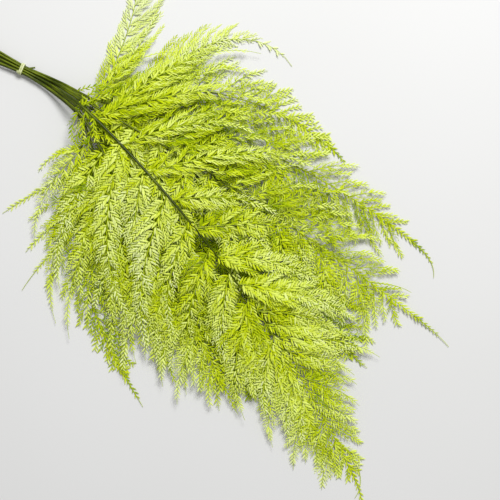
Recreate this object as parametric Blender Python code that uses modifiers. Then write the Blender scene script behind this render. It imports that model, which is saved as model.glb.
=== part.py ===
# A bunch of ten finely cut fern fronds, tied round their stems and laid flat.
# The cut stems point to -X and the tips to +X. Metres, +Z up, resting on z = 0.

import math
from collections import namedtuple

import bmesh
import bpy
import numpy as np
from mathutils import Matrix

MM = 0.001

# The bundle of stems, in three rows where the tie holds it.
TIE_CENTRE = (-60 * MM, -24 * MM)
BUNDLE_HEADING = 21.5
STEM_RADIUS = 0.8 * MM
TIP_RADIUS = 0.35 * MM
SLOT_PITCH = 1.95 * MM
ROW_PITCH = 2.1 * MM
CUT_DROP_LENGTH = 80 * MM

# The tie, a flat band wound round the bundle.
TIE_GAP = 0.3 * MM
TIE_WALL = 0.65 * MM
TIE_WIDTH = 3.8 * MM
TIE_CORNER = 2.0 * MM
TIE_EDGE = 0.12 * MM
ARC_STEPS = 6
WIDEST_SLOT = 1.5
ROWS = 3
FIRST_ROW_HEIGHT = TIE_WALL + TIE_GAP + STEM_RADIUS

# The way of the stems past the tie, as distances along them. The bundle bends as one
# and fans out a little, then each stem turns to its own heading and climbs to its layer
# of the pile. Behind the tie the stems splay.
HUB_HEADING = 7.0
HUB_BEND_END = 80 * MM
FAN_ANGLE = 3.5
FAN_RISE = 15 * MM
FAN_FALL = 20 * MM
SPLAY_ANGLE = 3.0
BEND_START = 45 * MM
BEND_END = 80 * MM
CLIMB_START = 5 * MM
CLIMB_END = 56 * MM
PLAN_STEP = 2 * MM
TUBE_STEP = 16 * MM

# The pile. Each frond drapes over the ones below it and comes down past them.
BLADE_THICKNESS = 0.6 * MM
RIM_PITCH = 2.1 * MM
CREST_PITCH = 3.2 * MM
LIFT_SHARE = 0.18
SURFACE_CLEARANCE = 0.1 * MM
FIRST_HEIGHT = SURFACE_CLEARANCE + BLADE_THICKNESS / 2 + LIFT_SHARE * RIM_PITCH
DOME_RISE = 4 * MM
PILE_CENTRE = (150 * MM, -5 * MM)
PILE_HALF = (230 * MM, 140 * MM)
DOME_HALF = (125 * MM, 80 * MM)
COVER_MARGIN = 12 * MM
COVER_FALL = 60 * MM

# The pinnae on each side of a frond and the leaflets cut into their blades.
PINNAE = 7
PINNA_CROWDING = 1.2
PINNA_STEPS = 16
SPREAD_AT_BASE = 64
SPREAD_AT_TIP = 42
CURL_AT_BASE = 56
CURL_AT_TIP = 22
SHORTEST_SHARE = 0.04
RIB_HALF_WIDTH = 0.55 * MM
RIB_TIP_HALF_WIDTH = 0.35 * MM
FIRST_LEAFLET = 8 * MM
LEAFLET_PITCH = 14 * MM
LEAFLET_ANGLE = 40
LEAFLET_REACH = 14.5 * MM
LEAFLET_BASE_SHARE = 0.35
REACH_SHARE = 0.44
TAIL = 9 * MM
LIFT_LENGTH = 12 * MM
TERMINAL_LENGTH = 30 * MM
TERMINAL_OVERLAP = 3 * MM

# A short cut side stem just past the tie, on the frond in the outermost slot.
STUB_FROND = 6
STUB_AT = 5 * MM
STUB_LENGTH = 5 * MM
STUB_RADIUS = 0.7 * MM
STUB_ANGLE = 32

# One row for each frond, lowest first. row and slot: its place in the bundle.
# heading and bend: degrees from +X at the base of the frond, and the turn along it.
# start: from the tie to the first pinna. cut: from the tie back to the cut end.
# rachis: length of the leafy part. left and right: the longest pinna on each side.
# taper: how fast the pinnae shorten. plumes: side, index, spread, curl and length of
# pinnae that stand apart. Lengths in this table are in millimetres.
Frond = namedtuple("Frond", "row slot heading bend start rachis left right taper cut plumes")
FRONDS = (
    Frond(0, 0.17, -4, -2, 72, 258, 110, 105, 0.85, 76, ()),
    Frond(0, -0.83, -53, 44, 70, 208, 84, 50, 0.8, 71, ((-1, 1, 56, 10, 64), (-1, 2, 38, 14, 74))),
    Frond(0, 1.17, 63, -61, 66, 200, 72, 95, 0.9, 74, ((1, 0, 71, -8, 132), (1, 1, 32, 80, 140))),
    Frond(1, -0.5, -8, -6, 76, 248, 95, 136, 0.7, 79, ()),
    Frond(1, 0.5, 10, -12, 72, 280, 120, 95, 0.6, 73, ()),
    Frond(1, -1.5, -25, 4, 66, 200, 85, 84, 0.8, 77, ()),
    Frond(1, 1.5, 37.5, -30, 64, 280, 72, 128, 0.75, 70, ()),
    Frond(2, -1.17, -14, -2, 78, 225, 90, 136, 0.7, 75, ()),
    Frond(2, 0.83, 19, -9, 80, 293, 112, 120, 0.8, 78, ((-1, 4, 50, -8, 66), (-1, 5, 52, -6, 56))),
    Frond(2, -0.17, 3, -19.5, 74, 350, 132, 134, 0.6, 72, ()),
)

Plan = namedtuple("Plan", "s x y heading")
Pinna = namedtuple("Pinna", "plan reach lift")


def smooth(x):
    """Ease from 0 to 1, level at both ends."""
    x = np.clip(x, 0.0, 1.0)
    return x * x * (3 - 2 * x)


def along(heading, distance):
    """Plan offset of a distance along a heading in degrees."""
    angle = np.radians(heading)
    return np.stack([np.cos(angle) * distance, np.sin(angle) * distance], axis=-1)


def walk(start, headings, step):
    """Plan points of a path that starts at a point and takes a step along each heading."""
    return np.vstack([start, start + np.cumsum(along(headings, step), axis=0)])


def on_plan(plan, s):
    """The point and the heading of a plan path at distance s along it."""
    point = np.array([np.interp(s, plan.s, plan.x), np.interp(s, plan.s, plan.y)])
    return point, np.interp(s, plan.s, plan.heading)


def stem_heading(frond, s):
    common = BUNDLE_HEADING + (HUB_HEADING - BUNDLE_HEADING) * smooth(s / HUB_BEND_END)
    fan = FAN_ANGLE * frond.slot * (smooth(s / FAN_RISE) - smooth((s - BEND_START) / FAN_FALL))
    own = (frond.heading - HUB_HEADING) * smooth((s - BEND_START) / (BEND_END - BEND_START))
    share = np.maximum(s - BEND_END, 0) / (frond.rachis * MM)
    return common + fan + own + frond.bend * share


def stem_plan(frond):
    """The stem and rachis seen from above, from the tie to the last pinna."""
    end = (frond.start + frond.rachis) * MM
    steps = round(end / PLAN_STEP)
    s = np.linspace(0, end, steps + 1)
    start = np.array(TIE_CENTRE) + along(BUNDLE_HEADING + 90, frond.slot * SLOT_PITCH)
    points = walk(start, stem_heading(frond, (s[:-1] + s[1:]) / 2), end / steps)
    return Plan(s, points[:, 0], points[:, 1], stem_heading(frond, s))


def pinna_plan(root, heading, side, spread, curl, length):
    """A pinna seen from above: it spreads from the rachis and curls towards the tip."""
    share = np.linspace(0, 1, PINNA_STEPS + 1)
    middle = (share[:-1] + share[1:]) / 2
    points = walk(root, heading + side * (spread - curl * middle ** 2), length / PINNA_STEPS)
    headings = heading + side * (spread - curl * share ** 2)
    return Plan(share * length, points[:, 0], points[:, 1], headings)


def pinna_table(frond, side):
    """Place along the rachis, spread, curl and length of the pinnae on one side."""
    shift = 0.0 if side > 0 else 0.5
    longest = frond.left if side > 0 else frond.right
    place = 1 - (1 - (np.arange(PINNAE + 1) + shift) / (PINNAE + shift)) ** PINNA_CROWDING
    spread = SPREAD_AT_BASE + (SPREAD_AT_TIP - SPREAD_AT_BASE) * place
    curl = CURL_AT_BASE + (CURL_AT_TIP - CURL_AT_BASE) * place
    length = longest * ((1 - place) ** frond.taper + SHORTEST_SHARE) * MM
    for plume_side, index, *plume in frond.plumes:
        if plume_side == side:
            spread[index], curl[index] = plume[:2]
            length[index] = plume[2] * MM
    return place, spread, curl, length


def side_pinnae(frond, plan, side):
    """The pinnae on one side of a rachis, longest at its base."""
    places, spreads, curls, lengths = pinna_table(frond, side)
    for index in range(PINNAE):
        root, heading = on_plan(plan, (frond.start + frond.rachis * places[index]) * MM)
        shape = pinna_plan(root, heading, side, spreads[index], curls[index], lengths[index])
        room = (places[index + 1] - places[index]) * frond.rachis * MM
        reach = min(LEAFLET_REACH, REACH_SHARE * room * math.sin(math.radians(spreads[index])))
        lift = LIFT_SHARE * (1 if index % 2 else -1)
        yield Pinna(shape, reach, lift)


def frond_pinnae(frond, plan):
    """All the pinnae of a frond, with the one that ends its rachis."""
    pinnae = [*side_pinnae(frond, plan, 1), *side_pinnae(frond, plan, -1)]
    root, heading = on_plan(plan, plan.s[-1] - TERMINAL_OVERLAP)
    end = pinna_plan(root, heading, 1, 0, 0, TERMINAL_LENGTH)
    pinnae.append(Pinna(end, LEAFLET_REACH / 3, 0))
    return pinnae


def footprint(frond, plan, pinnae):
    """Plan points all over a frond, along its rachis and its pinnae."""
    leafy = plan.s >= frond.start * MM
    points = [np.column_stack([plan.x[leafy], plan.y[leafy]])]
    points += [np.column_stack([pinna.plan.x, pinna.plan.y]) for pinna in pinnae]
    return np.vstack(points)


def mound(points, half):
    """A rounded hill over the pile, 1 at its centre and 0 at the rim of an ellipse."""
    r2 = np.sum(((points - PILE_CENTRE) / half) ** 2, axis=1)
    return np.maximum(0, 1 - r2) ** 2


def pitch(points):
    return RIM_PITCH + (CREST_PITCH - RIM_PITCH) * mound(points, PILE_HALF)


def cover(points, under):
    """How far a frond lies under each point: 1 on it, easing to 0 away from it."""
    offsets = points[:, None, :] - under[None, :, :]
    distance = np.sqrt(np.min(np.sum(offsets ** 2, axis=2), axis=1))
    return smooth(1 - (distance - COVER_MARGIN) / COVER_FALL)


def layer_height(points, layer, footprints):
    """Height of the middle of a layer of the pile above the surface."""
    covers = sum(cover(points, under) for under in footprints[:layer])
    return FIRST_HEIGHT + DOME_RISE * mound(points, DOME_HALF) + pitch(points) * covers


def stem_route(frond, plan, layer, footprints):
    """Points and radii of the tube of a stem and rachis, from its cut end to its tip."""
    behind = np.array([-frond.cut, -frond.cut / 2, 0]) * MM
    end = plan.s[-1]
    ahead = np.linspace(0, end, round(end / TUBE_STEP) + 1)[1:]
    s = np.concatenate([behind, ahead])
    x = np.interp(s, plan.s, plan.x)
    y = np.interp(s, plan.s, plan.y)
    back = along(BUNDLE_HEADING - SPLAY_ANGLE * frond.slot, np.minimum(s, 0))
    points = np.column_stack([x, y]) + back
    drop = TIE_WALL + TIE_GAP
    row_height = FIRST_ROW_HEIGHT + frond.row * ROW_PITCH - drop * smooth(-s / CUT_DROP_LENGTH)
    climb = smooth((s - CLIMB_START) / (CLIMB_END - CLIMB_START))
    height = row_height + (layer_height(points, layer, footprints) - row_height) * climb
    start = frond.start * MM
    radii = STEM_RADIUS + (TIP_RADIUS - STEM_RADIUS) * np.clip((s - start) / (end - start), 0, 1)
    return np.column_stack([points, height]), radii


def rib_half_width(share):
    return RIB_HALF_WIDTH + (RIB_TIP_HALF_WIDTH - RIB_HALF_WIDTH) * share


def blade_edge(pinna, side):
    """One edge of a pinna's blade from root to tip: two corners for each leaflet."""
    length = pinna.plan.s[-1]

    def beside(s, offset):
        point, heading = on_plan(pinna.plan, s)
        return point + along(heading + side * 90, offset)

    edge = [beside(0, RIB_HALF_WIDTH)]
    count = max(1, round((length - FIRST_LEAFLET - TAIL) / LEAFLET_PITCH))
    first = min(FIRST_LEAFLET, length / 4)
    step = (length - first - TAIL) / count if length > 2.5 * TAIL else (length - first) / 2
    for index in range(count):
        notch = first + index * step
        share = notch / length
        reach = max(pinna.reach * (1 - share) ** 0.7, 2 * RIB_HALF_WIDTH)
        base, heading = on_plan(pinna.plan, notch + LEAFLET_BASE_SHARE * step)
        edge.append(beside(notch, rib_half_width(share)))
        slant = reach / math.sin(math.radians(LEAFLET_ANGLE))
        edge.append(base + along(heading + side * LEAFLET_ANGLE, slant))
    edge.append(beside(first + count * step, RIB_TIP_HALF_WIDTH))
    return edge


def blade_outline(pinna):
    tip = np.array([pinna.plan.x[-1], pinna.plan.y[-1]])
    return blade_edge(pinna, 1) + [tip] + blade_edge(pinna, -1)[::-1]


def link(obj, collection):
    collection.objects.link(obj)
    return obj


def curve_object(name, points, collection, dimensions, cyclic):
    """A curve object with one straight-sided spline through the points."""
    curve = bpy.data.curves.new(name, "CURVE")
    curve.dimensions = dimensions
    add_spline(curve, points, cyclic)
    return link(bpy.data.objects.new(name, curve), collection)


def add_spline(curve, points, cyclic):
    spline = curve.splines.new("POLY")
    spline.points.add(len(points) - 1)
    for place, point in zip(spline.points, points):
        height = point[2] if len(point) > 2 else 0
        place.co = (point[0], point[1], height, 1)
    spline.use_cyclic_u = cyclic
    return spline


def to_mesh(curve_obj, collection):
    """Replace a curve object by a mesh object with its caps welded."""
    bpy.context.view_layer.update()
    evaluated = curve_obj.evaluated_get(bpy.context.evaluated_depsgraph_get())
    mesh = bpy.data.meshes.new_from_object(evaluated)
    shape = bmesh.new()
    shape.from_mesh(mesh)
    bmesh.ops.remove_doubles(shape, verts=shape.verts, dist=0.01 * MM)
    bmesh.ops.recalc_face_normals(shape, faces=shape.faces)
    shape.to_mesh(mesh)
    shape.free()
    name = curve_obj.name
    matrix = curve_obj.matrix_world.copy()
    bpy.data.objects.remove(curve_obj)
    obj = link(bpy.data.objects.new(name, mesh), collection)
    obj.matrix_world = matrix
    return obj


def tube(name, points, radii, collection):
    """A six-sided tube that changes its radius along its points."""
    obj = curve_object(name, points, collection, "3D", False)
    obj.data.bevel_depth = 1.0
    obj.data.bevel_resolution = 1
    obj.data.use_fill_caps = True
    for place, radius in zip(obj.data.splines[0].points, radii):
        place.radius = radius
    return to_mesh(obj, collection)


def blade(name, pinna, layer, footprints, collection):
    """A pinna: a flat blade cut into leaflets, lifted onto its layer of the pile."""
    obj = curve_object(name, blade_outline(pinna), collection, "2D", True)
    obj.data.fill_mode = "BOTH"
    obj.data.extrude = BLADE_THICKNESS / 2
    obj = to_mesh(obj, collection)
    vertices = obj.data.vertices
    points = np.empty(len(vertices) * 3)
    vertices.foreach_get("co", points)
    points = points.reshape(-1, 3)
    root = np.array([pinna.plan.x[0], pinna.plan.y[0]])
    from_root = np.linalg.norm(points[:, :2] - root, axis=1)
    lift = pinna.lift * pitch(points[:, :2]) * smooth(from_root / LIFT_LENGTH)
    points[:, 2] += layer_height(points[:, :2], layer, footprints) + lift
    vertices.foreach_set("co", points.ravel())
    return obj


def fuse(body, pieces):
    """Join the pieces of a collection to a body by a union, and remove them."""
    union = body.modifiers.new("union", "BOOLEAN")
    union.operation = "UNION"
    union.operand_type = "COLLECTION"
    union.collection = pieces
    union.solver = "EXACT"
    bpy.context.view_layer.update()
    evaluated = body.evaluated_get(bpy.context.evaluated_depsgraph_get())
    mesh = bpy.data.meshes.new_from_object(evaluated)
    body.modifiers.clear()
    body.data = mesh
    for obj in list(pieces.objects):
        bpy.data.objects.remove(obj)
    bpy.data.collections.remove(pieces)


def make_frond(layer, frond, plan, pinnae, footprints, bunch):
    """One frond: its stem and rachis with every pinna fused to it."""
    name = f"frond_{layer + 1:02d}"
    route, radii = stem_route(frond, plan, layer, footprints)
    body = tube(name, route, radii, bunch)
    pieces = bpy.data.collections.new(f"{name}_pieces")
    bpy.context.scene.collection.children.link(pieces)
    for index, pinna in enumerate(pinnae):
        blade(f"{name}_pinna_{index}", pinna, layer, footprints, pieces)
    if layer == STUB_FROND:
        root, heading = on_plan(plan, STUB_AT)
        tip = root + along(heading + STUB_ANGLE, STUB_LENGTH)
        height = FIRST_ROW_HEIGHT + frond.row * ROW_PITCH
        ends = [(*root, height), (*tip, height)]
        tube(f"{name}_stub", ends, [STUB_RADIUS, STUB_RADIUS], pieces)
    fuse(body, pieces)
    return body


def rounded_rectangle(half_width, half_height, corner):
    """The outline of a rectangle with round corners, centred on the origin."""
    outline = []
    for quarter in range(4):
        across = half_width - corner if quarter in (0, 3) else corner - half_width
        up = half_height - corner if quarter in (0, 1) else corner - half_height
        for step in range(ARC_STEPS + 1):
            angle = math.pi / 2 * (quarter + step / ARC_STEPS)
            outline.append((across + corner * math.cos(angle), up + corner * math.sin(angle)))
    return outline


def make_tie(bunch):
    """The band round the bundle, with a flat underside on the surface."""
    inner_width = WIDEST_SLOT * SLOT_PITCH + STEM_RADIUS + TIE_GAP
    inner_height = (ROWS - 1) / 2 * ROW_PITCH + STEM_RADIUS + TIE_GAP
    outer = rounded_rectangle(inner_width + TIE_WALL, inner_height + TIE_WALL, TIE_CORNER + TIE_WALL)
    inner = rounded_rectangle(inner_width, inner_height, TIE_CORNER)
    band = curve_object("tie", outer, bunch, "2D", True)
    add_spline(band.data, inner, True)
    band.data.fill_mode = "BOTH"
    band.data.extrude = TIE_WIDTH / 2
    across = (*along(BUNDLE_HEADING + 90, 1.0), 0)
    stems = (*along(BUNDLE_HEADING, 1.0), 0)
    turn = Matrix((across, (0, 0, 1), stems)).transposed()
    band.location = (*TIE_CENTRE, inner_height + TIE_WALL)
    band.rotation_euler = turn.to_euler()
    band = to_mesh(band, bunch)
    edges = band.modifiers.new("soft edges", "BEVEL")
    edges.width = TIE_EDGE
    edges.segments = 1
    edges.limit_method = "ANGLE"
    edges.angle_limit = math.radians(60)
    return band


def make_material(name, colour, roughness):
    material = bpy.data.materials.new(name)
    material.use_nodes = True
    shader = material.node_tree.nodes["Principled BSDF"]
    shader.inputs["Base Color"].default_value = (*colour, 1)
    shader.inputs["Roughness"].default_value = roughness
    shader.inputs["Metallic"].default_value = 0.0
    return material


def set_material(obj, material):
    obj.data.materials.clear()
    obj.data.materials.append(material)


def centre_on_origin(pieces, bunch):
    """Parent the pieces to an empty that puts their box's bottom centre at the origin."""
    bpy.context.view_layer.update()
    corners = np.array([piece.matrix_world @ vertex.co for piece in pieces for vertex in piece.data.vertices])
    low = corners.min(axis=0)
    high = corners.max(axis=0)
    origin = link(bpy.data.objects.new("bunch_origin", None), bunch)
    origin.location = (-(low[0] + high[0]) / 2, -(low[1] + high[1]) / 2, -low[2])
    for piece in pieces:
        piece.parent = origin


def main():
    for obj in list(bpy.data.objects):
        bpy.data.objects.remove(obj)
    bunch = bpy.data.collections.new("tied_fern_bunch")
    bpy.context.scene.collection.children.link(bunch)
    plans = [stem_plan(frond) for frond in FRONDS]
    pinnae = [frond_pinnae(frond, plan) for frond, plan in zip(FRONDS, plans)]
    footprints = [footprint(*parts) for parts in zip(FRONDS, plans, pinnae)]
    leaf = make_material("fern_leaf", (0.42, 0.52, 0.08), 0.6)
    pieces = []
    for layer, frond in enumerate(FRONDS):
        body = make_frond(layer, frond, plans[layer], pinnae[layer], footprints, bunch)
        set_material(body, leaf)
        pieces.append(body)
    tie = make_tie(bunch)
    set_material(tie, make_material("pale_band", (0.75, 0.76, 0.55), 0.5))
    pieces.append(tie)
    centre_on_origin(pieces, bunch)


main()
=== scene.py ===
# %% [markdown]
# # A tied bunch of fern fronds
#
# The real object is a florist's bunch: about ten cut, feathery fern fronds, held by a pale band
# and laid flat on a white surface. It has tens of thousands of leaf segments, too many to place
# by hand, so this lesson grows them by rules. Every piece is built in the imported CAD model's own
# frame, in metres, so nothing has to be fitted by eye.

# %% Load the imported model
import math
from collections import namedtuple

import bpy
import numpy as np
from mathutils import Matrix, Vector


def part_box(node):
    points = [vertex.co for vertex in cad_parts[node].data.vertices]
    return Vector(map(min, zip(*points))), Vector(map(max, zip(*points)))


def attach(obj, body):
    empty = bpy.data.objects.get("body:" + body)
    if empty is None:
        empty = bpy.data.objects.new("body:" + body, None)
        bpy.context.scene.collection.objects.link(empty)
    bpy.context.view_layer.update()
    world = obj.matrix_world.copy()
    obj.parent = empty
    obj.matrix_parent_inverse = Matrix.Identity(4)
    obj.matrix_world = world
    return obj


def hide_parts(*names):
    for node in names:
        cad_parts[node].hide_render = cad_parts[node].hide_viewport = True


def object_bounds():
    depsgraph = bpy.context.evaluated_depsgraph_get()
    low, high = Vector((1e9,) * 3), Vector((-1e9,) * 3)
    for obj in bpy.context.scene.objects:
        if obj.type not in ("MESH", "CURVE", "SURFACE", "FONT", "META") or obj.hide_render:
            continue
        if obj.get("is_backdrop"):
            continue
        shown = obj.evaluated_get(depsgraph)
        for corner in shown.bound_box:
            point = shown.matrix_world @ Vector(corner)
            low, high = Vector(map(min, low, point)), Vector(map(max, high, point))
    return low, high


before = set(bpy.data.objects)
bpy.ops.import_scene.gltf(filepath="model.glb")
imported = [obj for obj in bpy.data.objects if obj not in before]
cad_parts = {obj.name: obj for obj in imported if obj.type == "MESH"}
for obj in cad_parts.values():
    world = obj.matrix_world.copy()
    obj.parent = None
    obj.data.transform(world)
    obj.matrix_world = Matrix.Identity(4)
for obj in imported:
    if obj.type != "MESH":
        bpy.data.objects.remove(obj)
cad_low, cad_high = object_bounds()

MM = 0.001
print("CAD nodes:", len(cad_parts))
print("CAD box in mm:", [round(side / MM, 1) for side in cad_high - cad_low])

# %% [markdown]
# ## Where each frond lies, seen from above
#
# A frond is drawn as a plan first: the stem leaves the tie and runs on as the rachis, the midrib
# that carries the pinnae. It could be drawn as a curve, but a table of headings and lengths is
# easier to correct. It is the CAD source's own, so the fine foliage stays over the solids.

# %% Plan helpers
def smooth(x):
    """Ease from 0 to 1, level at both ends."""
    x = np.clip(x, 0.0, 1.0)
    return x * x * (3 - 2 * x)


def blend(start, end, share):
    return start + (end - start) * share


def along(heading, distance):
    """Plan offset of a distance along a heading in degrees."""
    angle = np.radians(heading)
    return np.stack([np.cos(angle) * distance, np.sin(angle) * distance], axis=-1)


def walk(start, headings, step):
    """Plan points of a path that starts at a point and takes a step along each heading."""
    return np.vstack([start, start + np.cumsum(along(headings, step), axis=0)])


Path = namedtuple("Path", "s x y heading")


def on_path(path, s):
    """The point and the heading of a plan path at distance s along it."""
    point = np.array([np.interp(s, path.s, path.x), np.interp(s, path.s, path.y)])
    return point, np.interp(s, path.s, path.heading)


print("10 along 0 and 10 along 90 degrees end at", walk((0, 0), [0, 90], 10)[-1].round(1))

# %% The ten fronds, lowest first
# row and slot: place in the bundle of stems. heading and bend: degrees from +X, and the turn
# along the rachis. start: from the tie to the first pinna. left and right: longest pinna on
# each side. taper: how fast the pinnae shorten. cut: from the tie back to the cut end.
# plumes: side, index, spread, curl and length of pinnae that stand apart. Millimetres.
Frond = namedtuple("Frond", "row slot heading bend start rachis left right taper cut plumes")
FRONDS = (
    Frond(0, 0.17, -4, -2, 72, 258, 110, 105, 0.85, 76, ()),
    Frond(0, -0.83, -53, 44, 70, 208, 84, 50, 0.8, 71, ((-1, 1, 56, 10, 64), (-1, 2, 38, 14, 74))),
    Frond(0, 1.17, 63, -61, 66, 200, 72, 95, 0.9, 74, ((1, 0, 71, -8, 132), (1, 1, 32, 80, 140))),
    Frond(1, -0.5, -8, -6, 76, 248, 95, 136, 0.7, 79, ()),
    Frond(1, 0.5, 10, -12, 72, 280, 120, 95, 0.6, 73, ()),
    Frond(1, -1.5, -25, 4, 66, 200, 85, 84, 0.8, 77, ()),
    Frond(1, 1.5, 37.5, -30, 64, 280, 72, 128, 0.75, 70, ()),
    Frond(2, -1.17, -14, -2, 78, 225, 90, 136, 0.7, 75, ()),
    Frond(2, 0.83, 19, -9, 80, 293, 112, 120, 0.8, 78, ((-1, 4, 50, -8, 66), (-1, 5, 52, -6, 56))),
    Frond(2, -0.17, 3, -19.5, 74, 350, 132, 134, 0.6, 72, ()),
)
TOP_LAYER = len(FRONDS) - 1
print(len(FRONDS), "fronds, longest rachis", max(frond.rachis for frond in FRONDS), "mm")

# %% [markdown]
# ## The ways of the stems
#
# The stems run side by side through the tie, fan out a little past it, and then each turns to
# its own heading. A changing heading that is walked in short steps gives a natural bend, and
# needs no control points.

# %% Stem paths
TIE_CENTRE = (-60 * MM, -24 * MM)
BUNDLE_HEADING = 21.5
SLOT_PITCH = 1.95 * MM
HUB_HEADING = 7.0
HUB_BEND_END = 80 * MM
FAN_ANGLE = 3.5
FAN_RISE = 15 * MM
FAN_FALL = 20 * MM
BEND_START = 45 * MM
BEND_END = 80 * MM
PATH_STEP = 2 * MM


def stem_heading(frond, s):
    """The whole bundle bends, its stems fan out a little, then each takes its own way."""
    common = blend(BUNDLE_HEADING, HUB_HEADING, smooth(s / HUB_BEND_END))
    fan = FAN_ANGLE * frond.slot * (smooth(s / FAN_RISE) - smooth((s - BEND_START) / FAN_FALL))
    own = (frond.heading - HUB_HEADING) * smooth((s - BEND_START) / (BEND_END - BEND_START))
    share = np.maximum(s - BEND_END, 0) / (frond.rachis * MM)
    return common + fan + own + frond.bend * share


def stem_path(frond):
    end = (frond.start + frond.rachis) * MM
    steps = round(end / PATH_STEP)
    s = np.linspace(0, end, steps + 1)
    start = np.array(TIE_CENTRE) + along(BUNDLE_HEADING + 90, frond.slot * SLOT_PITCH)
    points = walk(start, stem_heading(frond, (s[:-1] + s[1:]) / 2), end / steps)
    return Path(s, points[:, 0], points[:, 1], stem_heading(frond, s))


stem_paths = [stem_path(frond) for frond in FRONDS]
print("from the tie to a last pinna, mm:", [round(path.s[-1] / MM) for path in stem_paths])

# %% [markdown]
# ## The ways of the pinnae
#
# Each rachis carries pinnae on both sides, longest at its base, which spread from it and curl
# towards its tip. The solids have seven on a side. The real frond has two to four times as many,
# so a pinna's place may lie between theirs, and its size is read off between its neighbours.

# %% Pinna paths
PINNAE = 7
PINNA_CROWDING = 1.2
PINNA_STEPS = 16
SPREAD = (64, 42)
CURL = (56, 22)
SHORTEST_SHARE = 0.04
TERMINAL_LENGTH = 30 * MM
TERMINAL_OVERLAP = 3 * MM


def pinna_path(root, heading, side, spread, curl, length):
    share = np.linspace(0, 1, PINNA_STEPS + 1)
    middle = (share[:-1] + share[1:]) / 2
    points = walk(root, heading + side * (spread - curl * middle ** 2), length / PINNA_STEPS)
    headings = heading + side * (spread - curl * share ** 2)
    return Path(share * length, points[:, 0], points[:, 1], headings)


def pinna_table(frond, side):
    """Place along the rachis, spread, curl and length of the pinnae on one side."""
    shift = 0.0 if side > 0 else 0.5
    longest = frond.left if side > 0 else frond.right
    place = 1 - (1 - (np.arange(PINNAE + 1) + shift) / (PINNAE + shift)) ** PINNA_CROWDING
    spread = blend(*SPREAD, place)
    curl = blend(*CURL, place)
    length = longest * ((1 - place) ** frond.taper + SHORTEST_SHARE)
    for plume in frond.plumes:
        if plume[0] == side:
            spread[plume[1]], curl[plume[1]], length[plume[1]] = plume[2:]
    return place, spread, curl, length


def side_pinnae(frond, path, side, indices, turns, stretches):
    """Pinnae on one side of a rachis, each with its own small turn and stretch."""
    whole = np.arange(PINNAE + 1)
    rows = [np.interp(indices, whole, row) for row in pinna_table(frond, side)]
    for place, spread, curl, length, turn, stretch in zip(*rows, turns, stretches):
        root, heading = on_path(path, (frond.start + frond.rachis * place) * MM)
        yield pinna_path(root, heading, side, spread + turn, curl, length * MM * stretch)


def terminal_pinna(path, curl=0.0, length=TERMINAL_LENGTH):
    root, heading = on_path(path, path.s[-1] - TERMINAL_OVERLAP)
    return pinna_path(root, heading, 1, 0, curl, length)


print("left pinnae of the top frond, mm:", pinna_table(FRONDS[TOP_LAYER], 1)[3].round())

# %% [markdown]
# ## How the fronds drape over each other
#
# Each frond rests on those below it and comes down past their edges, so its height at a place is
# the number of fronds under it there, eased out over the last few centimetres. A cloth simulation
# could drape them too, but this rule is quick, the same each time, and the CAD model's own.

# %% The ground that each frond covers
def footprint(frond, path):
    """Plan points all over a frond, along its rachis and the pinnae of its solid."""
    leafy = path.s >= frond.start * MM
    pinnae = [terminal_pinna(path)]
    for side in (1, -1):
        pinnae += side_pinnae(frond, path, side, np.arange(PINNAE), np.zeros(PINNAE), np.ones(PINNAE))
    points = [np.column_stack([path.x[leafy], path.y[leafy]])]
    points += [np.column_stack([pinna.x, pinna.y]) for pinna in pinnae]
    return np.vstack(points)


footprints = [footprint(frond, path) for frond, path in zip(FRONDS, stem_paths)]
print("points in the footprints:", sum(len(points) for points in footprints))

# %% Heights in the pile
FIRST_HEIGHT = 0.778 * MM
RIM_PITCH = 2.1 * MM
CREST_PITCH = 3.2 * MM
DOME_RISE = 4 * MM
PILE_CENTRE = (150 * MM, -5 * MM)
PILE_HALF = (230 * MM, 140 * MM)
DOME_HALF = (125 * MM, 80 * MM)
COVER_MARGIN = 12 * MM
COVER_FALL = 60 * MM


def mound(points, half):
    """A rounded hill, 1 at its centre and 0 at the rim of an ellipse."""
    r2 = np.sum(((points - PILE_CENTRE) / half) ** 2, axis=1)
    return np.maximum(0, 1 - r2) ** 2


def pitch(points):
    return blend(RIM_PITCH, CREST_PITCH, mound(points, PILE_HALF))


def cover(points, under):
    """How far a frond lies under each point: 1 on it, easing to 0 away from it."""
    offsets = points[:, None, :] - under[None, :, :]
    distance = np.sqrt(np.min(np.sum(offsets ** 2, axis=2), axis=1))
    return smooth(1 - (distance - COVER_MARGIN) / COVER_FALL)


def layer_height(points, layer):
    covers = sum(cover(points, under) for under in footprints[:layer])
    return FIRST_HEIGHT + DOME_RISE * mound(points, DOME_HALF) + pitch(points) * covers


def covers_above(points, layer):
    """How many fronds lie over each point of a layer."""
    return sum((cover(points, over) for over in footprints[layer + 1:]), np.zeros(len(points)))


tie_low, tie_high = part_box("tie")
SHIFT = np.array([(tie_low.x + tie_high.x) / 2, (tie_low.y + tie_high.y) / 2]) - TIE_CENTRE
crest = layer_height(np.array([PILE_CENTRE]), TOP_LAYER)[0]
print("top frond at the pile's centre:", round(crest / MM, 1), "mm up")
print("plan to frame, mm:", (SHIFT / MM).round(2))

# %% [markdown]
# ## Writing node trees as sums
#
# Node trees could be linked socket by socket, but sums are easier to read. A small class wraps a
# socket and overloads the operators, so that 1 - mask or side * slant adds its own nodes.
# A vector goes through Vector Math and a number through Math. One method makes any other node.

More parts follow.
